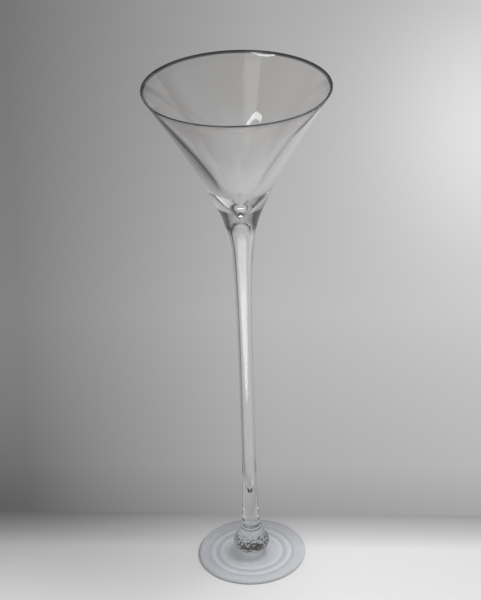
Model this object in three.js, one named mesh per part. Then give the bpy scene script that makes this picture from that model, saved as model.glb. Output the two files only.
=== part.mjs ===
// A very tall cocktail glass of clear blown glass, standing on Z = 0 with its axis on Z.
// Six turned pieces are fused face to face, from the floor up: foot, knop, merese, stem, collar and
// bowl. One long air bubble runs up inside the stem and ends in a dome inside the collar.
// All lengths are in millimetres. "Up" in a name means above the bottom face of that piece.
// A slope is how far an outline moves outwards for each millimetre that it climbs. A reach is how far
// a slope is felt along a curve, as a share of the distance between the curve's ends.
import * as THREE from "three";

// Foot: a round disc with a rounded edge, standing on a flat ring round a shallow hollow
const FOOT_RADIUS = 63.5;
const FOOT_EDGE_THICKNESS = 2.8;
const FOOT_HEIGHT = 6.4;
const FOOT_RING_WIDTH = 14;
const FOOT_HOLLOW_DEPTH = 1.4;
const FOOT_SEAT_MARGIN = 0.8;
const RIPPLE_HEIGHT = 0.35;
const RIPPLE_WIDTH = 4.5;
const RIPPLE_RADII = [34.5, 45];

// Knop: a squat bulb, widest near its bottom
const KNOP_HEIGHT = 31;
const KNOP_SEAT_RADIUS = 14.5;
const KNOP_SEAT_SLOPE = 2;
const KNOP_RADIUS = 21;
const KNOP_WIDEST_UP = 8;
const KNOP_NECK_RADIUS = 10.4;
const KNOP_NECK_SLOPE = -0.45;

// Merese: the thin ring between the knop and the stem
const MERESE_HEIGHT = 4.2;
const MERESE_RADIUS = 12.6;

// Stem: a long drawn rod with a waist, flared a little at its bottom end
const STEM_LENGTH = 358.4;
const STEM_END_RADIUS = 10.4;
const STEM_END_SLOPE = -0.2;
const STEM_ANKLE_RADIUS = 10;
const STEM_ANKLE_UP = 9;
const STEM_ANKLE_SLOPE = -0.05;
const STEM_WAIST_RADIUS = 8.05;
const STEM_WAIST_UP = 105;
const STEM_WAIST_REACH = 0.7;
const STEM_TOP_RADIUS = 12.1;
const STEM_TOP_SLOPE = 0.08;
const STEM_TOP_REACH = 0.18;

// Air bubble: its point lies in the stem, its dome in the collar
const BUBBLE_POINT_UP = 45.6;
const BUBBLE_POINT_LENGTH = 53;
const BUBBLE_RADIUS = 5.5;
const BUBBLE_MOUTH_RADIUS = 7;
const BUBBLE_MOUTH_SLOPE = 0.03;
const BUBBLE_DOME_RADIUS = 8.8;
const BUBBLE_DOME_HEIGHT = 13;

// Collar: the trumpet-shaped root between the stem and the bowl
const COLLAR_HEIGHT = 50.2;
const COLLAR_TOP_RADIUS = 21.5;
const COLLAR_TOP_SLOPE = 0.39;
const COLLAR_TOP_REACH = 0.25;
const COLLAR_ROOF = 0.9;

// Bowl: a flared cone with a rounded lip, whose wall thickens towards a pointed well at the bottom
const BOWL_HEIGHT = 149.8;
const BOWL_RIM_RADIUS = 101.2;
const BOWL_RIM_SLOPE = 0.6;
const BOWL_RIM_REACH = 0.23;
const BOWL_ROOT_REACH = 0.39;
const BOWL_LIP_THICKNESS = 2.4;
const BOWL_WELL_WALL = 6.8;
const BOWL_WELL_SHARE = 0.12;
const BOWL_FLOOR = 1.2;
const BOWL_FLOOR_RISE = 0.6;

// How finely the turned surfaces are divided
const WIDE_SEGMENTS = 72;
const SLIM_SEGMENTS = 36;

// The height at which each piece starts
const KNOP_Z = FOOT_HEIGHT;
const MERESE_Z = KNOP_Z + KNOP_HEIGHT;
const STEM_Z = MERESE_Z + MERESE_HEIGHT;
const COLLAR_Z = STEM_Z + STEM_LENGTH;
const BOWL_Z = COLLAR_Z + COLLAR_HEIGHT;

// A point of an outline: distance from the axis, then height
function at(radius, height) {
  return new THREE.Vector2(radius, height);
}

// A curve from start to end that leaves and arrives along two given directions
function sweep(start, leaving, arriving, end, leavingReach = 1 / 3, arrivingReach = 1 / 3) {
  const distance = start.distanceTo(end);
  const first = leaving.clone().setLength(leavingReach * distance).add(start);
  const last = arriving.clone().setLength(-arrivingReach * distance).add(end);
  return new THREE.CubicBezierCurve(start, first, last, end);
}

// Points on an upright ellipse, between two angles in degrees
function arc(centre, radiusAcross, radiusUp, fromAngle, toAngle, steps) {
  const points = [];
  for (let i = 0; i <= steps; i += 1) {
    const angle = THREE.MathUtils.degToRad(THREE.MathUtils.lerp(fromAngle, toAngle, i / steps));
    points.push(at(centre.x + radiusAcross * Math.cos(angle), centre.y + radiusUp * Math.sin(angle)));
  }
  return points;
}

// One outline from several stretches, without the doubled points where they meet
function joined(...stretches) {
  const outline = [];
  for (const point of stretches.flat()) {
    if (outline.length === 0 || outline.at(-1).distanceTo(point) > 1e-6) {
      outline.push(point);
    }
  }
  return outline;
}

// A piece of glass turned round the axis from its outline, standing at the given height
function turned(name, outline, segments, height, colour) {
  const glass = new THREE.MeshStandardMaterial({ color: colour, roughness: 0.05, metalness: 0 });
  glass.transparent = true;
  glass.opacity = 0.35;
  const geometry = new THREE.LatheGeometry(outline, segments);
  geometry.rotateX(Math.PI / 2);
  const piece = new THREE.Mesh(geometry, glass);
  piece.name = name;
  piece.position.z = height;
  return piece;
}

// The gentle swell of one ripple ring at a distance from the axis
function ripple(radius, ringRadius) {
  const across = (radius - ringRadius) / RIPPLE_WIDTH;
  return RIPPLE_HEIGHT * Math.exp(-across * across);
}

// The foot's top surface, which falls from the knop's seat to the edge in a hollow curve. Its ripples
// fade out at both ends.
function footTop(seatRadius, edgeRadius) {
  const steps = 16;
  const points = [];
  for (let i = 0; i <= steps; i += 1) {
    const share = i / steps;
    const radius = THREE.MathUtils.lerp(edgeRadius, seatRadius, share);
    const rise = (FOOT_HEIGHT - FOOT_EDGE_THICKNESS) * share ** 2;
    const fade = Math.min(1, 4 * share * (1 - share));
    const swell = RIPPLE_RADII.reduce((sum, ringRadius) => sum + ripple(radius, ringRadius), 0);
    points.push(at(radius, FOOT_EDGE_THICKNESS + rise + fade * swell));
  }
  return points;
}

// Foot: the hollow and the resting ring below, the rounded edge, the rippled top, the knop's seat
function foot() {
  const half = FOOT_EDGE_THICKNESS / 2;
  const edgeRadius = FOOT_RADIUS - half;
  const hollowRadius = edgeRadius - FOOT_RING_WIDTH;
  const crown = at(0, FOOT_HOLLOW_DEPTH);
  const hollow = sweep(crown, at(1, 0), at(hollowRadius, -FOOT_HOLLOW_DEPTH), at(hollowRadius, 0));
  const edge = arc(at(edgeRadius, half), half, half, -90, 90, 6);
  const top = footTop(KNOP_SEAT_RADIUS + FOOT_SEAT_MARGIN, edgeRadius);
  const outline = joined(hollow.getPoints(5), edge, top, [at(0, FOOT_HEIGHT)]);
  return turned("foot", outline, WIDE_SEGMENTS, 0, 0xb9c0c6);
}

// Knop: a flat seat on the foot, the full bulb, and the drawn-in neck under the merese
function knop() {
  const seat = at(KNOP_SEAT_RADIUS, 0);
  const widest = at(KNOP_RADIUS, KNOP_WIDEST_UP);
  const neck = at(KNOP_NECK_RADIUS, KNOP_HEIGHT);
  const belly = sweep(seat, at(KNOP_SEAT_SLOPE, 1), at(0, 1), widest).getPoints(5);
  const shoulder = sweep(widest, at(0, 1), at(KNOP_NECK_SLOPE, 1), neck).getPoints(9);
  const outline = joined([at(0, 0)], belly, shoulder, [at(0, KNOP_HEIGHT)]);
  return turned("knop", outline, SLIM_SEGMENTS, KNOP_Z, 0xa7adb1);
}

// Merese: a thin ring with a round edge
function merese() {
  const half = MERESE_HEIGHT / 2;
  const edge = arc(at(MERESE_RADIUS - half, half), half, half, -90, 90, 6);
  const outline = joined([at(0, 0)], edge, [at(0, MERESE_HEIGHT)]);
  return turned("merese", outline, SLIM_SEGMENTS, MERESE_Z, 0xb4babe);
}

// The bubble's wall inside the stem, from its mouth at the collar down its shank, which ends in a
// long half ellipse with its point on the axis
function bubbleInStem() {
  const mouth = at(BUBBLE_MOUTH_RADIUS, STEM_LENGTH);
  const shank = at(BUBBLE_RADIUS, BUBBLE_POINT_UP + BUBBLE_POINT_LENGTH);
  const bore = sweep(mouth, at(-BUBBLE_MOUTH_SLOPE, -1), at(0, -1), shank).getPoints(7);
  const point = arc(at(0, shank.y), BUBBLE_RADIUS, BUBBLE_POINT_LENGTH, 0, -90, 8);
  return joined(bore, point);
}

// Stem: the flared end on the merese, the waist, the slow swell up to the collar, and the bubble
function stem() {
  const end = at(STEM_END_RADIUS, 0);
  const ankle = at(STEM_ANKLE_RADIUS, STEM_ANKLE_UP);
  const waist = at(STEM_WAIST_RADIUS, STEM_WAIST_UP);
  const top = at(STEM_TOP_RADIUS, STEM_LENGTH);
  const drawn = at(STEM_ANKLE_SLOPE, 1);
  const upright = at(0, 1);
  const opening = at(STEM_TOP_SLOPE, 1);
  const flare = sweep(end, at(STEM_END_SLOPE, 1), drawn, ankle).getPoints(3);
  const lower = sweep(ankle, drawn, upright, waist).getPoints(6);
  const upper = sweep(waist, upright, opening, top, STEM_WAIST_REACH, STEM_TOP_REACH).getPoints(10);
  const outline = joined([at(0, 0)], flare, lower, upper, bubbleInStem());
  return turned("stem", outline, SLIM_SEGMENTS, STEM_Z, 0xb9bebf);
}

// Collar: the domed end of the bubble inside, the trumpet outside, and a flat top under the bowl
function collar() {
  const domeFoot = COLLAR_HEIGHT - COLLAR_ROOF - BUBBLE_DOME_HEIGHT;
  const dome = arc(at(0, domeFoot), BUBBLE_DOME_RADIUS, BUBBLE_DOME_HEIGHT, 90, 0, 7);
  const mouth = at(BUBBLE_MOUTH_RADIUS, 0);
  const settling = at(-BUBBLE_MOUTH_SLOPE, -1);
  const throat = sweep(at(BUBBLE_DOME_RADIUS, domeFoot), at(0, -1), settling, mouth);
  const root = at(STEM_TOP_RADIUS, 0);
  const top = at(COLLAR_TOP_RADIUS, COLLAR_HEIGHT);
  const opening = at(STEM_TOP_SLOPE, 1);
  const trumpet = sweep(root, opening, at(COLLAR_TOP_SLOPE, 1), top, 1 / 3, COLLAR_TOP_REACH);
  const lid = [at(0, COLLAR_HEIGHT)];
  const outline = joined(dome, throat.getPoints(5), trumpet.getPoints(6), lid);
  return turned("collar", outline, SLIM_SEGMENTS, COLLAR_Z, 0xa9aeb0);
}

// The bowl's inner wall, from the lip down to the brim of its well, which lies at the well's share of
// the outer wall's curve. It follows the outer wall at a thickness that grows downwards.
function bowlInside(outside) {
  const steps = 11;
  const points = [];
  for (let i = 1; i <= steps; i += 1) {
    const share = i / steps;
    const along = THREE.MathUtils.lerp(1, BOWL_WELL_SHARE, share);
    const wall = THREE.MathUtils.lerp(BOWL_LIP_THICKNESS, BOWL_WELL_WALL, share ** 2);
    const uphill = outside.getTangent(along);
    points.push(outside.getPoint(along).add(at(-uphill.y, uphill.x).multiplyScalar(wall)));
  }
  return points;
}

// Bowl: the flared wall outside, the rounded lip, the wall inside, and the well down to its point
function bowl() {
  const lip = BOWL_LIP_THICKNESS / 2;
  const lipCentre = at(BOWL_RIM_RADIUS - lip, BOWL_HEIGHT - lip);
  const across = THREE.MathUtils.radToDeg(Math.atan(BOWL_RIM_SLOPE));
  const rim = arc(lipCentre, lip, lip, -across, 180 - across, 6);
  const leaving = at(COLLAR_TOP_SLOPE, 1);
  const arriving = at(BOWL_RIM_SLOPE, 1);
  const root = at(COLLAR_TOP_RADIUS, 0);
  const outside = sweep(root, leaving, arriving, rim[0], BOWL_ROOT_REACH, BOWL_RIM_REACH);
  const inside = bowlInside(outside);
  const brim = inside.at(-1);
  const downhill = brim.clone().sub(inside.at(-2));
  const well = sweep(brim, downhill, at(-1, -BOWL_FLOOR_RISE), at(0, BOWL_FLOOR)).getPoints(6);
  const outline = joined([at(0, 0)], outside.getPoints(12), rim, inside, well);
  return turned("bowl", outline, WIDE_SEGMENTS, BOWL_Z, 0xb6bbc0);
}

const glass = new THREE.Group();
glass.name = "cocktail_glass";
glass.add(foot(), knop(), merese(), stem(), collar(), bowl());

export default glass;
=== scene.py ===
"""Cocktail glass of clear blown glass, with the floor, backdrop and light of its photograph.

Every piece of glass is turned round the Z axis from its outline, in metres, and stands where the
loaded frame has it. Where two pieces are fused, both keep a flat face there that has no surface of
its own, so that light runs straight on from one piece into the next.
"""
import math

import bmesh
import bpy
from bpy.props import FloatProperty, FloatVectorProperty, IntProperty, PointerProperty
from mathutils import Matrix, Vector
from mathutils.geometry import interpolate_bezier


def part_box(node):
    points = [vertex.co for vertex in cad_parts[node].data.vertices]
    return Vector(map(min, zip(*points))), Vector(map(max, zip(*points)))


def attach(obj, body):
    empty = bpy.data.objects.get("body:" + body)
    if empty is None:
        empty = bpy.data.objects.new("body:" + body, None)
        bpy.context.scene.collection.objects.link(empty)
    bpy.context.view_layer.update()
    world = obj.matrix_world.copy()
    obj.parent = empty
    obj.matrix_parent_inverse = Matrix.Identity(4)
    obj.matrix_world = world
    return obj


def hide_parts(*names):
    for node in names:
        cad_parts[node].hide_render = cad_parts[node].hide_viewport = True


bl_info = {
    "name": "Cocktail glass",
    "version": (1, 0, 0),
    "blender": (4, 5, 0),
    "location": "3D View > Sidebar > Cocktail glass",
    "description": "Makes a very tall blown cocktail glass piece by piece, and its studio",
    "category": "Object",
}

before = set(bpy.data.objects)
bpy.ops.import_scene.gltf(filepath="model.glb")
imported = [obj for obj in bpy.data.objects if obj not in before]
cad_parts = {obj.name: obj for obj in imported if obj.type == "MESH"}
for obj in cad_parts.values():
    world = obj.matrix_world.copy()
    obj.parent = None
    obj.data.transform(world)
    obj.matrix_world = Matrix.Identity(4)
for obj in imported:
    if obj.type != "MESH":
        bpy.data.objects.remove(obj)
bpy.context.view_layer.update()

# A slope is how far an outline moves outwards for each metre that it climbs. A reach is how far a
# slope is felt along a curve, as a share of the distance between the curve's ends.
THIRD = 1 / 3
KNOP_SEAT_SLOPE = 2
KNOP_NECK_SLOPE = -0.45
STEM_END_SLOPE = -0.2
STEM_ANKLE_SLOPE = -0.05
STEM_WAIST_REACH = 0.7
STEM_TOP_SLOPE = 0.08
STEM_TOP_REACH = 0.18
BUBBLE_MOUTH_SLOPE = 0.03
COLLAR_TOP_REACH = 0.25
BOWL_ROOT_REACH = 0.39
BOWL_RIM_REACH = 0.23

# How finely the outlines are divided
ROUND_STEPS = 16
FOOT_EDGE_STEPS = 12
FOOT_TOP_STEPS = 72
DOME_STEPS = 24
BUBBLE_POINT_STEPS = 32
BOWL_INSIDE_STEPS = 64
BOWL_OUTSIDE_POINTS = 97

# Points of an outline nearer than this are one point
SAME_PLACE = 1e-7
# How near a face lies to the height and to the radii of a fused ring
FUSED_HEIGHT_NEAR = 1e-6
FUSED_RADIUS_NEAR = 1e-5
# A fold as sharp as this shows as an edge
SHARP_FOLD = math.radians(40)

# The slow waves of hand work in each piece: their size and their depth
WAVES = {
    "foot": (0.018, 0.0004),
    "knop": (0.012, 0.0006),
    "merese": (0.01, 0.0003),
    "stem": (0.06, 0.0003),
    "collar": (0.02, 0.0003),
    "bowl": (0.05, 0.0004),
}

# How far below the top of the lip a change in the bowl's glass starts and is complete: the dim
# upper tint, the lip's painted shade, and where light counts as trapped
UPPER_TINT_BELOW = (0.1, 0.05)
LIP_PAINTED_SHADE_BELOW = (0.0035, 0.0025)
LIP_TRAPS_BELOW = (0.012, 0.008)
# The lip's painted shade is lighter in front: it starts to lighten at the first Y, and is lightest
# at the second
FRONT_LIP_LIGHTER_Y = (-0.04, -0.075)
# How far above the face between collar and bowl the painted shade on the root's flanks starts and
# is darkest
COLLAR_FLANKS_UP = (-0.022, -0.012)
BOWL_FLANKS_UP = (0.0155, 0.013)
# How far the glass turns away from the eye where the painted shade on the flanks starts and is
# darkest, from 0 to 1
FLANKS_TURNED_AWAY = (0.28, 0.5)
FLANK_BLEND = 0.5
SHADE_BLEND = 0.35
# Light counts as trapped in the glass after more bounces of any kind or more reflections than
# these, and near the lip after the last
MANY_BOUNCES = 8.5
MANY_REFLECTIONS = 2.5
LIP_REFLECTIONS = 0.5

# Where the foot gathers and spreads the light that falls through it: a radius of the foot, how far
# outside it, half the width, and how bright the light gets
FOOT_LIGHT = (
    ("inner_ripple", 0.0, 0.0016, (1, 1, 1)),
    ("inner_ripple", 0.0044, 0.0018, (0.78, 0.8, 0.83)),
    ("outer_ripple", 0.0, 0.0014, (1, 1, 1)),
    ("outer_ripple", 0.004, 0.0018, (0.8, 0.82, 0.85)),
    ("centre", 0.0, 0.021, (0.78, 0.79, 0.81)),
)
# The same for the dark line at the foot's edge, which lies in front and to the left
FOOT_EDGE_LIGHT = ("radius", -0.0008, 0.001, (0.2, 0.2, 0.22))
EDGE_LINE_SLANT = 0.5
EDGE_LINE_FROM_TO = (0.01, -0.04)

# The paper's greys hold painted light and shade: the floor is painted darker towards its crease
# with the backdrop and with painted shade at the left rear, and the backdrop is painted lighter
# to the right and in the middle of its height, with a painted pool of light at the upper right and
# painted shade at the lower left. Each stop is a place and the grey there. Each spot is its place
# across and along, its reach, and how much lighter (or darker, below 0) the paper is there. Places
# along the floor are counted from its crease with the backdrop.
FLOOR_ALONG = ((-0.2, 0.86), (-0.07, 0.81), (-0.04, 0.59), (0.0, 0.37))
FLOOR_ACROSS = ((-0.28, 1.2), (0.3, 1.0))
FLOOR_PAINTED_SHADE = ((-0.34, 0.08, 0.23, -0.73),)
BACKDROP_UP = ((0.0, 0.38), (0.06, 0.48), (0.25, 0.57), (0.6, 0.46))
BACKDROP_ACROSS = ((-0.28, 0.39), (0.02, 0.85), (0.3, 1.0))
BACKDROP_PAINTED_LIGHT_AND_SHADE = ((0.29, 0.49, 0.16, 0.57), (-0.33, 0.0, 0.1, -0.25))
FLOOR_FRONT = -3.0
# The backdrop's foot rises to this distance and height before its even slope
CREASE_DEPTH = 0.01
CREASE_HEIGHT = 0.03

# The room's brightness by direction, from level (0.5) to straight up (1)
ROOM_TONES = {
    "front": ((0.5, 0.3), (0.6, 0.5), (0.66, 1.4), (0.72, 1.4), (0.78, 0.35), (0.85, 0.15),
              (1.0, 0.5)),
    "left": ((0.5, 0.25), (0.65, 0.25), (0.8, 0.08), (1.0, 0.4)),
    "right": ((0.5, 0.3), (0.6, 0.4), (0.7, 0.6), (0.8, 0.3), (0.9, 0.3), (1.0, 0.5)),
    "back": ((0.5, 0.05), (0.7, 0.05), (0.95, 0.4), (1.0, 0.4)),
}
# Where the room turns from its front into a side: the axis, and where along it that starts and ends
ROOM_TURNS = {"left": ("X", -0.12, -0.35), "right": ("X", 0.35, 0.55), "back": ("Y", -0.1, 0.25)}
# Tones below the dim one are a little warm and the others a little cool. Warmth is the share that
# red gains, and blue loses this many times as much.
DIM_TONE = 0.3
DIM_WARMTH = 0.04
BRIGHT_WARMTH = -0.02
BLUE_LOSS = 1.5

# The camera of the photograph. Its focal length is counted in pixels of the photograph's height,
# which is the longer side and so takes the whole sensor.
CAMERA_PLACE = (0, -1.968, 1.4436)
CAMERA_PAN = 0.0017
CAMERA_DOWN = 0.5096
CAMERA_ROLL = -0.0344
FOCAL_PIXELS = 2035.6
PHOTO_HEIGHT = 600
SENSOR = 36


def level(node, end=0):
    """Height of a node's bottom (end 0) or top (end 1)."""
    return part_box(node)[end][2]


def length(name, description, default):
    return FloatProperty(name=name, description=description, default=default, min=0, precision=5,
                         unit="LENGTH")


def slope(name, description, default):
    return FloatProperty(name=name, description=description, default=default, precision=3)


def share(name, description, default):
    return FloatProperty(name=name, description=description, default=default, min=0, max=1,
                         subtype="FACTOR")


def colour(name, description, default):
    return FloatVectorProperty(name=name, description=description, default=default, size=3, min=0,
                               max=1, subtype="COLOR")


def angle(name, description, default):
    return FloatProperty(name=name, description=description, default=default, subtype="ANGLE")


def power(name, description, default):
    return FloatProperty(name=name, description=description, default=default, min=0, unit="POWER")


class FootSizes(bpy.types.PropertyGroup):
    """The round rippled foot"""
    radius: length("Radius", "Outer radius of the foot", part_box("foot")[1][0])
    edge: length("Edge thickness", "Thickness of the rounded edge", 0.0028)
    ring: length("Ring width", "Width of the flat ring that the glass stands on", 0.014)
    hollow: length("Hollow depth", "Depth of the hollow under the foot", 0.0014)
    seat_margin: length("Seat margin", "Flat ring left bare round the knop", 0.0008)
    ripple_height: length("Ripple height", "Height of the ripple rings", 0.00035)
    ripple_width: length("Ripple width", "Half width of one ripple ring", 0.0045)
    inner_ripple: length("Inner ripple", "Radius of the inner ripple ring", 0.0345)
    outer_ripple: length("Outer ripple", "Radius of the outer ripple ring", 0.045)


class KnopSizes(bpy.types.PropertyGroup):
    """The squat bulb and the thin ring on it"""
    seat: length("Seat radius", "Radius of the knop where it is fused to the foot", 0.0115)
    radius: length("Radius", "Radius of the knop at its widest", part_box("knop")[1][0])
    widest_up: length("Widest height", "Height of the widest place over the foot", 0.0125)
    neck: length("Neck radius", "Radius of the knop's top", 0.0104)
    ring: length("Ring radius", "Outer radius of the merese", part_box("merese")[1][0])


class StemSizes(bpy.types.PropertyGroup):
    """The drawn hollow stem"""
    end: length("End radius", "Radius at the merese", 0.0104)
    ankle: length("Ankle radius", "Radius where the end's flare stops", 0.01)
    ankle_up: length("Ankle height", "Height of the ankle over the merese", 0.009)
    waist: length("Waist radius", "Radius at the thinnest place", 0.00805)
    waist_up: length("Waist height", "Height of the thinnest place over the merese", 0.105)
    top: length("Top radius", "Radius at the collar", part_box("stem")[1][0])
    bubble: length("Bubble radius", "Radius of the air bubble's shank", 0.0055)
    bubble_up: length("Bubble point", "Height of the bubble's point over the merese", 0.0456)
    bubble_point: length("Point length", "Length of the bubble's pointed end", 0.053)
    mouth: length("Mouth radius", "Radius of the bubble at the collar", 0.007)


class BowlSizes(bpy.types.PropertyGroup):
    """The collar with the bubble's dome, and the flared bowl"""
    dome: length("Dome radius", "Radius of the bubble's dome in the collar", 0.0095)
    dome_height: length("Dome height", "Height of the bubble's dome", 0.015)
    roof: length("Roof", "Glass between the dome and the collar's top", 0.0009)
    root: length("Root radius", "Radius where the bowl meets the collar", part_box("collar")[1][0])
    root_slope: slope("Root slope", "Outward slope where the bowl meets the collar", 0.39)
    rim: length("Rim radius", "Outer radius of the lip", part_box("bowl")[1][0])
    rim_slope: slope("Rim slope", "Outward slope of the wall at the lip", 0.6)
    lip: length("Lip thickness", "Wall thickness at the lip", 0.0024)
    well_wall: length("Well wall", "Wall thickness at the brim of the well", 0.0105)
    well_share: share("Well share", "Where the well starts, as a share of the outer curve", 0.18)
    floor: length("Floor", "Glass under the well's point", 0.0012)
    floor_rise: slope("Floor rise", "Rise of the well's floor away from its point", 1.2)


class GlassLook(bpy.types.PropertyGroup):
    """The clear glass"""
    tint: colour("Tint", "Colour of the glass itself", (0.995, 0.995, 1))
    top_tint: colour("Upper tint", "Colour of the bowl's glass near its lip", (0.91, 0.895, 0.885))
    # The lip's two colours are painted shade: dark all round, and less dark in front
    lip_painted_shade: colour("Lip tint", "Colour of the lip, where light runs far inside", (0.1, 0.1, 0.1))
    front_lip_painted_shade: colour("Thin lip tint", "Colour of the lip in front, where it is thinner",
                          (0.65, 0.65, 0.66))
    # The root's flank colour is painted shade, where the glass is seen edge-on
    root_painted_shade: colour("Root tint", "Colour of the root's flanks, where light runs far inside",
                      (0.05, 0.042, 0.036))
    foot_tint: colour("Foot tint", "Colour of the foot's glass", (0.96, 0.97, 0.985))
    shade: colour("Shade", "Light that one surface of the glass lets through to the floor",
                  (0.95, 0.955, 0.96))
    foot_shade: colour("Foot shade", "Light that one surface of the foot lets through",
                       (0.94, 0.95, 0.97))
    steep: share("Steep shade", "Share of the shade left where light grazes the surface", 0.3)
    trapped: colour("Trapped light", "Colour of light that has run to and fro inside the glass",
                    (0.14, 0.135, 0.13))
    wall_trapped: colour("Trapped in the wall", "The same for the bowl's wall below its lip",
                         (0.95, 0.95, 0.97))
    root_trapped: colour("Trapped in the root", "The same for the collar", (0.6, 0.6, 0.6))
    knop_trapped: colour("Trapped in the knop", "The same for the knop", (0.07, 0.07, 0.07))
    crackle: length("Crackle size", "Size of the flecks in the knop's glass", 0.005)
    crackle_depth: length("Crackle depth", "How strongly the flecks bend the light", 0.0018)
    bending: FloatProperty(name="Refraction", description="Index of refraction", default=1.5,
                           min=1, max=2)
    steps: IntProperty(name="Steps", description="Steps of every turned piece", default=192,
                       min=24, max=256)


class StudioLook(bpy.types.PropertyGroup):
    """Floor, backdrop and lamps"""
    crease: length("Crease", "Distance of the backdrop's foot behind the glass", 0.079)
    turn: angle("Turn", "Turn of floor and backdrop", -0.075)
    lean: angle("Lean", "How far the backdrop leans back", 0.21)
    height: length("Height", "Height of the backdrop along its slope", 0.68)
    left: length("Left", "Reach of the backdrop to the left", 0.33)
    right: length("Right", "Reach of the backdrop to the right", 0.37)
    wide: length("Floor width", "Width of the floor", 5.0)
    top: power("Top lamp", "Power of the large soft lamp overhead", 43)
    panel: power("Floor panel", "Power of the soft lamp that lies on the floor in front", 3)
    front: power("Front lamp", "Power of the soft lamp in front, to the left", 1.1)
    strip: power("Strip lamp", "Power of the narrow lamp that glints on the back of the rim", 0.6)


def point(radius, height):
    return Vector((radius, 0, height))


def sweep(start, leaving, arriving, end, leaving_reach=THIRD, arriving_reach=THIRD, points=24):
    """Points of the curve that leaves and arrives along two directions, as in the part's source."""
    distance = (end - start).length
    first = start + leaving.normalized() * leaving_reach * distance
    last = end - arriving.normalized() * arriving_reach * distance
    return interpolate_bezier(start, first, last, end, points)


def arc(centre, across, up, from_angle, to_angle, steps):
    """Points on an upright ellipse, between two angles in degrees."""
    angles = [math.radians(from_angle + (to_angle - from_angle) * i / steps)
              for i in range(steps + 1)]
    return [centre + point(across * math.cos(a), up * math.sin(a)) for a in angles]


def turned(node, outline, material, fused):
    """One closed piece of glass, turned from its outline in place of a node. A flat face inside a
    fused ring, given as height, inner and outer radius, gets the material that has no surface."""
    mesh = bmesh.new()
    verts = []
    for place in outline:
        if not verts or (verts[-1].co - place).length > SAME_PLACE:
            verts.append(mesh.verts.new(place))
    edges = [mesh.edges.new(pair) for pair in zip(verts, verts[1:])]
    bmesh.ops.spin(mesh, geom=verts + edges, cent=(0, 0, 0), axis=(0, 0, 1), angle=2 * math.pi,
                   steps=bpy.context.scene.glass_look.steps, use_merge=True)
    bmesh.ops.remove_doubles(mesh, verts=mesh.verts, dist=SAME_PLACE)
    bmesh.ops.recalc_face_normals(mesh, faces=mesh.faces)
    for face in mesh.faces:
        face.smooth = True
        radii = [vert.co.xy.length for vert in face.verts]
        for height, inner, outer in fused:
            flat = all(abs(vert.co.z - height) < FUSED_HEIGHT_NEAR for vert in face.verts)
            outside_hole = min(radii) > inner - FUSED_RADIUS_NEAR
            inside_ring = max(radii) < outer + FUSED_RADIUS_NEAR
            if flat and outside_hole and inside_ring:
                face.material_index = 1
    for edge in mesh.edges:
        if edge.is_manifold:
            sides = [face.material_index for face in edge.link_faces]
            edge.smooth = sides[0] == sides[1] and edge.calc_face_angle() < SHARP_FOLD
    piece = placed(node + "_glass", mesh, material, fused_face())
    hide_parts(node)
    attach(piece, "root")
    return piece


def placed(name, mesh, *materials):
    """An object in the scene, made from a finished mesh and its materials."""
    data = bpy.data.meshes.new(name)
    mesh.to_mesh(data)
    mesh.free()
    for material in materials:
        data.materials.append(material)
    item = bpy.data.objects.new(name, data)
    bpy.context.scene.collection.objects.link(item)
    return item


class Nodes:
    """Short words for making the nodes of one material or of the world."""

    def __init__(self, owner):
        owner.use_nodes = True
        self.tree = owner.node_tree
        self.tree.nodes.clear()

    def fill(self, socket, value):
        """Joins another node's socket to this one, or sets it to a plain value."""
        if isinstance(value, bpy.types.NodeSocket):
            self.tree.links.new(value, socket)
        else:
            socket.default_value = value

    def add(self, kind, *values, **named):
        """A node whose sockets are filled in order and by name."""
        node = self.tree.nodes.new("ShaderNode" + kind)
        for place, value in enumerate(values):
            self.fill(node.inputs[place], value)
        for name, value in named.items():
            self.fill(node.inputs[name.replace("_", " ")], value)
        return node

    def math(self, operation, first, second=0.0):
        node = self.add("Math", first, second)
        node.operation = operation
        return node.outputs[0]

    def mix(self, part, first, second):
        """One colour where the part is 0, the other where it is 1."""
        node = self.add("Mix")
        node.data_type = "RGBA"
        for place, value in ((0, part), (6, first), (7, second)):
            self.fill(node.inputs[place], value)
        return node.outputs[2]

    def between(self, value, start, end):
        """0 up to the start, 1 from the end on, and even in between."""
        return self.add("MapRange", value, start, end).outputs[0]

    def ramp(self, value, stops):
        """A colour that changes with a value from 0 to 1. Each stop is a value and its colour."""
        node = self.add("ValToRGB", value)
        marks = node.color_ramp.elements
        for place, tone in stops[1:-1]:
            marks.new(place)
        for mark, (place, tone) in zip(marks, stops):
            mark.position = place
            mark.color = (*tone, 1)
        return node.outputs[0]

    def fading(self, value, stops):
        """A grey that changes with any value. Each stop is a value and the grey there."""
        first, last = stops[0][0], stops[-1][0]
        greys = [((place - first) / (last - first), (grey,) * 3) for place, grey in stops]
        return self.ramp(self.between(value, first, last), greys)

    def squares(self, *values):
        """The sum of the values' squares."""
        total = 0.0
        for value in values:
            total = self.math("ADD", self.math("MULTIPLY", value, value), total)
        return total

    def soft_spot(self, reach, *places):
        """1 where every value is at its centre, and softly less away from it. Each place is a value
        and its centre."""
        offs = [self.math("DIVIDE", self.math("SUBTRACT", value, centre), reach)
                for value, centre in places]
        return self.math("EXPONENT", self.math("MULTIPLY", self.squares(*offs), -1.0))


def fused_face():
    """No surface at all, for the flat faces where two pieces are fused."""
    ready = bpy.data.materials.get("fused_face")
    if ready:
        return ready
    material = bpy.data.materials.new("fused_face")
    nodes = Nodes(material)
    clear = nodes.add("BsdfTransparent", Color=(1, 1, 1, 1))
    nodes.add("OutputMaterial", Surface=clear.outputs[0])
    return material


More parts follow.
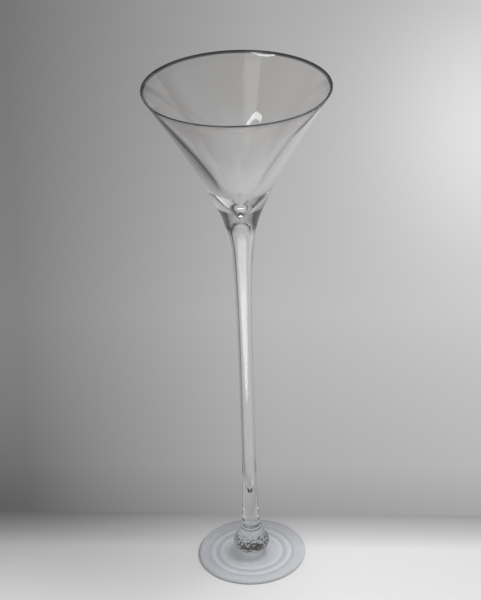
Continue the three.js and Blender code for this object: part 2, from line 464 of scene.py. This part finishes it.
def clear_glass(node, tint=None, shade=None, crackled=False, rings=(), edge_line=None, trapped=None,
                lip=None, flanks_up=None):
    """Clear glass of one piece, with the slow waves of hand work and, if crackled, fine flecks.
    rings and edge_line are places where the foot gathers light. lip is the height of the lip.
    flanks_up is a pair of heights: glass seen edge-on has no painted shade at the first, and is
    painted darkest at the second."""
    look = bpy.context.scene.glass_look
    material = bpy.data.materials.new(node + "_glass")
    nodes = Nodes(material)
    place = nodes.add("TexCoord").outputs["Object"]
    split = nodes.add("SeparateXYZ", place)
    x, y, z = (split.outputs[axis] for axis in "XYZ")
    size, depth = WAVES[node]
    wave = nodes.add("TexNoise", Vector=place, Scale=1 / size, Detail=0.0, Roughness=0.4)
    bump = nodes.add("Bump", Strength=1.0, Distance=depth, Height=wave.outputs["Fac"])
    if crackled:
        crackle = nodes.add("TexVoronoi", Vector=place, Scale=1 / look.crackle, Randomness=1.0)
        crackle.feature = "SMOOTH_F1"
        crackle.inputs["Smoothness"].default_value = 0.35
        bump = nodes.add("Bump", Strength=1.0, Distance=look.crackle_depth,
                         Height=crackle.outputs["Distance"], Normal=bump.outputs[0])
    body = (*(tint or look.tint), 1)
    if lip:
        body = tinted_with_painted_lip_shade(nodes, body, y, z, lip)
    if flanks_up:
        # Painted shade: the root's flanks are painted dark where the glass is seen edge-on
        facing = nodes.add("LayerWeight", Blend=FLANK_BLEND).outputs["Facing"]
        flank = nodes.math("MULTIPLY", nodes.between(z, *flanks_up),
                           nodes.between(facing, *FLANKS_TURNED_AWAY))
        body = nodes.mix(flank, body, (*look.root_painted_shade, 1))
    glass = nodes.add("BsdfPrincipled", Base_Color=body, Roughness=0.0, IOR=look.bending,
                      Transmission_Weight=1.0, Normal=bump.outputs[0])
    falling = nodes.add("BsdfTransparent",
                        Color=falling_light(nodes, x, y, shade or look.shade, rings, edge_line))
    path = nodes.add("LightPath").outputs
    passing = nodes.math("MAXIMUM", path["Is Shadow Ray"], path["Is Diffuse Ray"])
    surface = nodes.add("MixShader", passing, glass.outputs[0], falling.outputs[0])
    deep = nodes.math("MAXIMUM", nodes.math("GREATER_THAN", path["Ray Depth"], MANY_BOUNCES),
                      nodes.math("GREATER_THAN", path["Glossy Depth"], MANY_REFLECTIONS))
    escaping = (*(trapped or look.trapped), 1)
    if lip:
        start, end = LIP_TRAPS_BELOW
        near_lip = nodes.between(z, lip - start, lip - end)
        escaping = nodes.mix(near_lip, (*look.wall_trapped, 1), escaping)
        reflected = nodes.math("GREATER_THAN", path["Glossy Depth"], LIP_REFLECTIONS)
        deep = nodes.math("MAXIMUM", deep, nodes.math("MULTIPLY", near_lip, reflected))
    escape = nodes.add("BsdfTransparent", Color=escaping)
    both = nodes.add("MixShader", deep, surface.outputs[0], escape.outputs[0])
    nodes.add("OutputMaterial", Surface=both.outputs[0])
    return material


def tinted_with_painted_lip_shade(nodes, body, y, z, lip):
    """The bowl's tint, dim and warm in its upper part, with painted shade that makes the lip dark,
    less so in front.
    """
    look = bpy.context.scene.glass_look
    start, end = UPPER_TINT_BELOW
    body = nodes.mix(nodes.between(z, lip - start, lip - end), body, (*look.top_tint, 1))
    # thin is where the lip's painted shade is lighter, in front; the lip is as thick there as
    # elsewhere
    thin = nodes.between(y, *FRONT_LIP_LIGHTER_Y)
    on_lip = nodes.mix(thin, (*look.lip_painted_shade, 1), (*look.front_lip_painted_shade, 1))
    start, end = LIP_PAINTED_SHADE_BELOW
    return nodes.mix(nodes.between(z, lip - start, lip - end), body, on_lip)


def falling_light(nodes, x, y, shade, rings, edge_line):
    """Colour of the light that falls through a piece. Each ring is a radius, half a width, and how
    bright the light gets there. So is the edge line, which only goes with rings."""
    facing = nodes.add("LayerWeight", Blend=SHADE_BLEND).outputs["Facing"]
    steep = [value * bpy.context.scene.glass_look.steep for value in shade]
    falling = nodes.mix(facing, (*shade, 1), (*steep, 1))
    if not rings:
        return falling
    across = nodes.math("SQRT", nodes.squares(x, y))
    for radius, half_width, tone in rings:
        near = nodes.soft_spot(half_width, (across, radius))
        falling = nodes.mix(near, falling, (*tone, 1))
    if edge_line:
        radius, half_width, tone = edge_line
        slant = nodes.math("ADD", nodes.math("MULTIPLY", x, EDGE_LINE_SLANT), y)
        near = nodes.math("MULTIPLY", nodes.soft_spot(half_width, (across, radius)),
                          nodes.between(slant, *EDGE_LINE_FROM_TO))
        falling = nodes.mix(near, falling, (*tone, 1))
    return falling


class GLASS_OT_foot(bpy.types.Operator):
    """Makes the round rippled foot"""
    bl_idname = "cocktail_glass.foot"
    bl_label = "Foot"

    def execute(self, context):
        size = context.scene.foot_sizes
        seat = context.scene.knop_sizes.seat
        look = context.scene.glass_look
        height = level("foot", 1)
        half = size.edge / 2
        edge_radius = size.radius - half
        ring_radius = edge_radius - size.ring
        seat_radius = seat + size.seat_margin
        outline = sweep(point(0, size.hollow), point(1, 0), point(ring_radius, -size.hollow),
                        point(ring_radius, 0))
        outline += arc(point(edge_radius, half), half, half, -90, 90, FOOT_EDGE_STEPS)
        for i in range(FOOT_TOP_STEPS + 1):
            part = i / FOOT_TOP_STEPS
            radius = edge_radius + (seat_radius - edge_radius) * part
            fade = min(1, 4 * part * (1 - part))
            swell = sum(math.exp(-((radius - ring) / size.ripple_width) ** 2)
                        for ring in (size.inner_ripple, size.outer_ripple))
            rise = (height - size.edge) * part ** 2
            outline.append(point(radius, size.edge + rise + fade * swell * size.ripple_height))
        outline += [point(seat, height), point(0, height)]
        radii = {"centre": 0.0, "inner_ripple": size.inner_ripple,
                 "outer_ripple": size.outer_ripple, "radius": size.radius}
        *rings, edge_line = [(radii[name] + outside, half_width, tone)
                             for name, outside, half_width, tone in (*FOOT_LIGHT, FOOT_EDGE_LIGHT)]
        glass = clear_glass("foot", look.foot_tint, look.foot_shade, rings=rings,
                            edge_line=edge_line)
        turned("foot", outline, glass, [(height, 0, seat)])
        return {"FINISHED"}


class GLASS_OT_knop(bpy.types.Operator):
    """Makes the squat bulb-shaped knop and the thin ring on it"""
    bl_idname = "cocktail_glass.knop"
    bl_label = "Knop and merese"

    def execute(self, context):
        size = context.scene.knop_sizes
        stem = context.scene.stem_sizes
        look = context.scene.glass_look
        low, high, top = level("knop"), level("knop", 1), level("merese", 1)
        widest = point(size.radius, low + size.widest_up)
        neck = point(size.neck, high)
        outline = [
            point(0, low),
            *sweep(point(size.seat, low), point(KNOP_SEAT_SLOPE, 1), point(0, 1), widest),
            *sweep(widest, point(0, 1), point(KNOP_NECK_SLOPE, 1), neck),
            point(0, high),
        ]
        glass = clear_glass("knop", crackled=True, trapped=look.knop_trapped)
        turned("knop", outline, glass, [(low, 0, size.seat), (high, 0, size.neck)])
        half = (top - high) / 2
        outline = [
            point(0, high),
            neck,
            *arc(point(size.ring - half, high + half), half, half, -90, 90, ROUND_STEPS),
            point(stem.end, top),
            point(0, top),
        ]
        turned("merese", outline, clear_glass("merese"), [(high, 0, size.neck), (top, 0, stem.end)])
        return {"FINISHED"}


class GLASS_OT_stem(bpy.types.Operator):
    """Makes the long drawn stem with its air bubble"""
    bl_idname = "cocktail_glass.stem"
    bl_label = "Stem"

    def execute(self, context):
        size = context.scene.stem_sizes
        low, high = level("stem"), level("stem", 1)
        ankle = point(size.ankle, low + size.ankle_up)
        waist = point(size.waist, low + size.waist_up)
        shank = point(size.bubble, low + size.bubble_up + size.bubble_point)
        outline = [
            point(0, low),
            *sweep(point(size.end, low), point(STEM_END_SLOPE, 1), point(STEM_ANKLE_SLOPE, 1),
                   ankle, points=8),
            *sweep(ankle, point(STEM_ANKLE_SLOPE, 1), point(0, 1), waist),
            *sweep(waist, point(0, 1), point(STEM_TOP_SLOPE, 1), point(size.top, high),
                   STEM_WAIST_REACH, STEM_TOP_REACH, points=48),
            *sweep(point(size.mouth, high), point(-BUBBLE_MOUTH_SLOPE, -1), point(0, -1), shank,
                   points=40),
            *arc(point(0, shank.z), size.bubble, size.bubble_point, 0, -90, BUBBLE_POINT_STEPS),
        ]
        turned("stem", outline, clear_glass("stem"),
               [(low, 0, size.end), (high, size.mouth, size.top)])
        return {"FINISHED"}


class GLASS_OT_bowl(bpy.types.Operator):
    """Makes the collar with the bubble's dome, and the flared bowl"""
    bl_idname = "cocktail_glass.bowl"
    bl_label = "Collar and bowl"

    def execute(self, context):
        size = context.scene.bowl_sizes
        stem = context.scene.stem_sizes
        look = context.scene.glass_look
        low, high, top = level("collar"), level("collar", 1), level("bowl", 1)
        dome_foot = high - size.roof - size.dome_height
        root = point(size.root, high)
        root_way = point(size.root_slope, 1)
        outline = [
            *arc(point(0, dome_foot), size.dome, size.dome_height, 90, 0, DOME_STEPS),
            *sweep(point(size.dome, dome_foot), point(0, -1), point(-BUBBLE_MOUTH_SLOPE, -1),
                   point(stem.mouth, low)),
            *sweep(point(stem.top, low), point(STEM_TOP_SLOPE, 1), root_way, root, THIRD,
                   COLLAR_TOP_REACH),
            point(0, high),
        ]
        glass = clear_glass("collar", trapped=look.root_trapped,
                            flanks_up=[high + up for up in COLLAR_FLANKS_UP])
        turned("collar", outline, glass, [(low, stem.mouth, stem.top), (high, 0, size.root)])
        half = size.lip / 2
        across = math.degrees(math.atan(size.rim_slope))
        rim = arc(point(size.rim - half, top - half), half, half, -across, 180 - across,
                  ROUND_STEPS)
        outside = sweep(root, root_way, point(size.rim_slope, 1), rim[0], BOWL_ROOT_REACH,
                        BOWL_RIM_REACH, points=BOWL_OUTSIDE_POINTS)
        inside = []
        for i in range(1, BOWL_INSIDE_STEPS + 1):
            part = i / BOWL_INSIDE_STEPS
            place = (len(outside) - 1) * (1 - (1 - size.well_share) * part)
            before = min(int(place), len(outside) - 2)
            run = outside[before + 1] - outside[before]
            wall = size.lip + (size.well_wall - size.lip) * part ** 2
            inwards = point(-run.z, run.x).normalized()
            inside.append(outside[before] + run * (place - before) + inwards * wall)
        well = sweep(inside[-1], inside[-1] - inside[-2], point(-1, -size.floor_rise),
                     point(0, high + size.floor))
        glass = clear_glass("bowl", lip=top, flanks_up=[high + up for up in BOWL_FLANKS_UP])
        turned("bowl", [point(0, high), *outside, *rim, *inside, *well], glass,
               [(high, 0, size.root)])
        return {"FINISHED"}


class GLASS_OT_studio(bpy.types.Operator):
    """Makes the floor, the backdrop, the room, the lamps and the camera"""
    bl_idname = "cocktail_glass.studio"
    bl_label = "Studio"

    def execute(self, context):
        scene = context.scene
        look = scene.studio_look
        paper_sheet("floor", [(FLOOR_FRONT, 0), (look.crease, 0)], -look.wide / 2, look.wide / 2,
                    floor_paper())
        foot = (look.crease + CREASE_DEPTH, CREASE_HEIGHT)
        top = (foot[0] + look.height * math.sin(look.lean),
               foot[1] + look.height * math.cos(look.lean))
        paper_sheet("backdrop", [(look.crease, 0), foot, top], -look.left, look.right,
                    backdrop_paper())
        scene.world = room()
        softbox("top", place=(0.6, 0.1, 2.7), target=(0, 0, 0), size=(1.0, 1.0), watts=look.top,
                tone=(1, 0.99, 0.98), hidden_from=("glossy", "transmission"))
        softbox("panel", place=(0, -0.55, 0.01), target=(0, -0.5, 1), size=(1.2, 0.4),
                watts=look.panel, tone=(0.93, 0.97, 1), hidden_from=("camera",))
        softbox("front", place=(-0.58, -1.1, 1.5), target=(-0.1, -0.45, 0), size=(0.5, 0.8),
                watts=look.front, tone=(1, 1, 1))
        softbox("strip", place=(-0.95, -1.16, 1.86), target=(0.03, 0.09, 0.59), size=(1.0, 0.022),
                watts=look.strip, tone=(1, 1, 1), roll=0.15, hidden_from=("transmission",))
        camera = bpy.data.objects.new("camera", bpy.data.cameras.new("camera"))
        scene.collection.objects.link(camera)
        camera.data.sensor_width = SENSOR
        camera.data.lens = FOCAL_PIXELS * SENSOR / PHOTO_HEIGHT
        camera.matrix_world = (Matrix.Translation(CAMERA_PLACE)
                               @ Matrix.Rotation(CAMERA_PAN, 4, "Z")
                               @ Matrix.Rotation(math.pi / 2 - CAMERA_DOWN, 4, "X")
                               @ Matrix.Rotation(CAMERA_ROLL, 4, "Z"))
        scene.camera = camera
        scene.view_settings.view_transform = "Standard"
        return {"FINISHED"}


def paper_sheet(name, profile, left, right, material):
    """A sheet of paper, drawn out along X from its profile of distances and heights."""
    mesh = bmesh.new()
    verts = [mesh.verts.new((left, *place)) for place in profile]
    edges = [mesh.edges.new(pair) for pair in zip(verts, verts[1:])]
    drawn = bmesh.ops.extrude_edge_only(mesh, edges=edges)
    far_side = [item for item in drawn["geom"] if isinstance(item, bmesh.types.BMVert)]
    bmesh.ops.translate(mesh, verts=far_side, vec=(right - left, 0, 0))
    bmesh.ops.rotate(mesh, verts=mesh.verts, cent=(0, 0, 0),
                     matrix=Matrix.Rotation(bpy.context.scene.studio_look.turn, 3, "Z"))
    bmesh.ops.recalc_face_normals(mesh, faces=mesh.faces)
    for face in mesh.faces:
        face.smooth = True
    sheet = placed(name, mesh, material)
    return sheet


def paper_grey_and_painted_light(nodes, along, stops, across, spots):
    """Grey paper with painted light and shade: it fades along one axis and across X, and has soft
    patches of painted light and painted shade.
    """
    place = nodes.add("TexCoord").outputs["Object"]
    turn = bpy.context.scene.studio_look.turn
    straight = nodes.add("VectorRotate", Vector=place, Angle=-turn)
    split = nodes.add("SeparateXYZ", straight.outputs[0]).outputs
    grey = nodes.math("MULTIPLY", nodes.fading(split[along], stops),
                      nodes.fading(split["X"], across))
    # Each spot is a soft patch of painted light, and of painted shade where its gain is below 0
    for x, far, reach, gain in spots:
        near = nodes.soft_spot(reach, (split["X"], x), (split[along], far))
        lighter = nodes.math("ADD", nodes.math("MULTIPLY", near, gain), 1.0)
        grey = nodes.math("MULTIPLY", grey, lighter)
    return grey


def floor_paper():
    """Pale paper, painted darker towards the backdrop and most at the left as painted shade; it
    keeps shadows.
    """
    crease = bpy.context.scene.studio_look.crease
    stops = [(crease + far, grey) for far, grey in FLOOR_ALONG]
    spots = [(x, crease + far, reach, gain) for x, far, reach, gain in FLOOR_PAINTED_SHADE]
    material = bpy.data.materials.new("floor")
    nodes = Nodes(material)
    paper = nodes.add("BsdfDiffuse", Color=paper_grey_and_painted_light(nodes, "Y", stops, FLOOR_ACROSS, spots))
    nodes.add("OutputMaterial", Surface=paper.outputs[0])
    return material


def backdrop_paper():
    """Grey paper with painted light from the right, a painted pool of light at the upper right and
    painted shade at the lower left: what the camera and the glass see of it is this painted grey,
    given off as its own light.
    """
    material = bpy.data.materials.new("backdrop")
    nodes = Nodes(material)
    grey = paper_grey_and_painted_light(nodes, "Z", BACKDROP_UP, BACKDROP_ACROSS, BACKDROP_PAINTED_LIGHT_AND_SHADE)
    paper = nodes.add("BsdfDiffuse", Color=grey)
    # The camera and the glass's reflections and refractions see the painted grey as emission
    seen = nodes.add("Emission", Color=grey, Strength=1.0)
    path = nodes.add("LightPath").outputs
    looked_at = nodes.math("MAXIMUM", path["Is Camera Ray"], path["Is Transmission Ray"])
    looked_at = nodes.math("MAXIMUM", looked_at, path["Is Glossy Ray"])
    both = nodes.add("MixShader", looked_at, paper.outputs[0], seen.outputs[0])
    nodes.add("OutputMaterial", Surface=both.outputs[0])
    return material


def room():
    """The room all round, by direction: a light band over the dim lower part in front and to the
    right, dark to the left, and behind the backdrop dim up to the ceiling."""
    world = bpy.data.worlds.new("room")
    nodes = Nodes(world)
    split = nodes.add("SeparateXYZ", nodes.add("TexCoord").outputs["Generated"]).outputs
    height = nodes.between(split["Z"], -1.0, 1.0)

    def tones(side):
        stops = []
        for place, grey in ROOM_TONES[side]:
            warmth = DIM_WARMTH if grey < DIM_TONE else BRIGHT_WARMTH
            stops.append((place, (grey * (1 + warmth), grey, grey * (1 - warmth * BLUE_LOSS))))
        return nodes.ramp(height, stops)

    seen = tones("front")
    for side, (axis, start, end) in ROOM_TURNS.items():
        seen = nodes.mix(nodes.between(split[axis], start, end), seen, tones(side))
    background = nodes.add("Background", Color=seen)
    nodes.add("OutputWorld", Surface=background.outputs[0])
    return world


def softbox(name, place, target, size, watts, tone, roll=0.0, hidden_from=()):
    """A rectangular soft lamp that faces its target, hidden from some kinds of rays."""
    lamp = bpy.data.lights.new(name, "AREA")
    lamp.shape = "RECTANGLE"
    lamp.size, lamp.size_y = size
    lamp.energy = watts
    lamp.color = tone
    box = bpy.data.objects.new(name, lamp)
    bpy.context.scene.collection.objects.link(box)
    box.location = place
    facing = (Vector(target) - Vector(place)).to_track_quat("-Z", "Y").to_matrix()
    box.rotation_euler = (facing @ Matrix.Rotation(roll, 3, "Z")).to_euler()
    for ray in hidden_from:
        setattr(box, "visible_" + ray, False)


OPERATORS = (GLASS_OT_foot, GLASS_OT_knop, GLASS_OT_stem, GLASS_OT_bowl, GLASS_OT_studio)
SCENE_GROUPS = {
    "foot_sizes": FootSizes,
    "knop_sizes": KnopSizes,
    "stem_sizes": StemSizes,
    "bowl_sizes": BowlSizes,
    "glass_look": GlassLook,
    "studio_look": StudioLook,
}


class GLASS_PT_panel(bpy.types.Panel):
    """Lists the sizes, the looks and the steps that make the glass"""
    bl_label = "Cocktail glass"
    bl_idname = "GLASS_PT_panel"
    bl_space_type = "VIEW_3D"
    bl_region_type = "UI"
    bl_category = "Cocktail glass"

    def draw(self, context):
        for operator in OPERATORS:
            self.layout.operator(operator.bl_idname)
        for name in SCENE_GROUPS:
            box = self.layout.box()
            box.label(text=name.replace("_", " "))
            group = getattr(context.scene, name)
            for prop in group.bl_rna.properties:
                if prop.identifier not in {"rna_type", "name"}:
                    box.prop(group, prop.identifier)


CLASSES = (*SCENE_GROUPS.values(), *OPERATORS, GLASS_PT_panel)


def register():
    for item in CLASSES:
        bpy.utils.register_class(item)
    for name, group in SCENE_GROUPS.items():
        setattr(bpy.types.Scene, name, PointerProperty(type=group))


def unregister():
    for name in SCENE_GROUPS:
        delattr(bpy.types.Scene, name)
    for item in reversed(CLASSES):
        bpy.utils.unregister_class(item)


def main():
    register()
    bpy.ops.cocktail_glass.foot()
    bpy.ops.cocktail_glass.knop()
    bpy.ops.cocktail_glass.stem()
    bpy.ops.cocktail_glass.bowl()
    bpy.ops.cocktail_glass.studio()


if __name__ == "__main__":
    main()
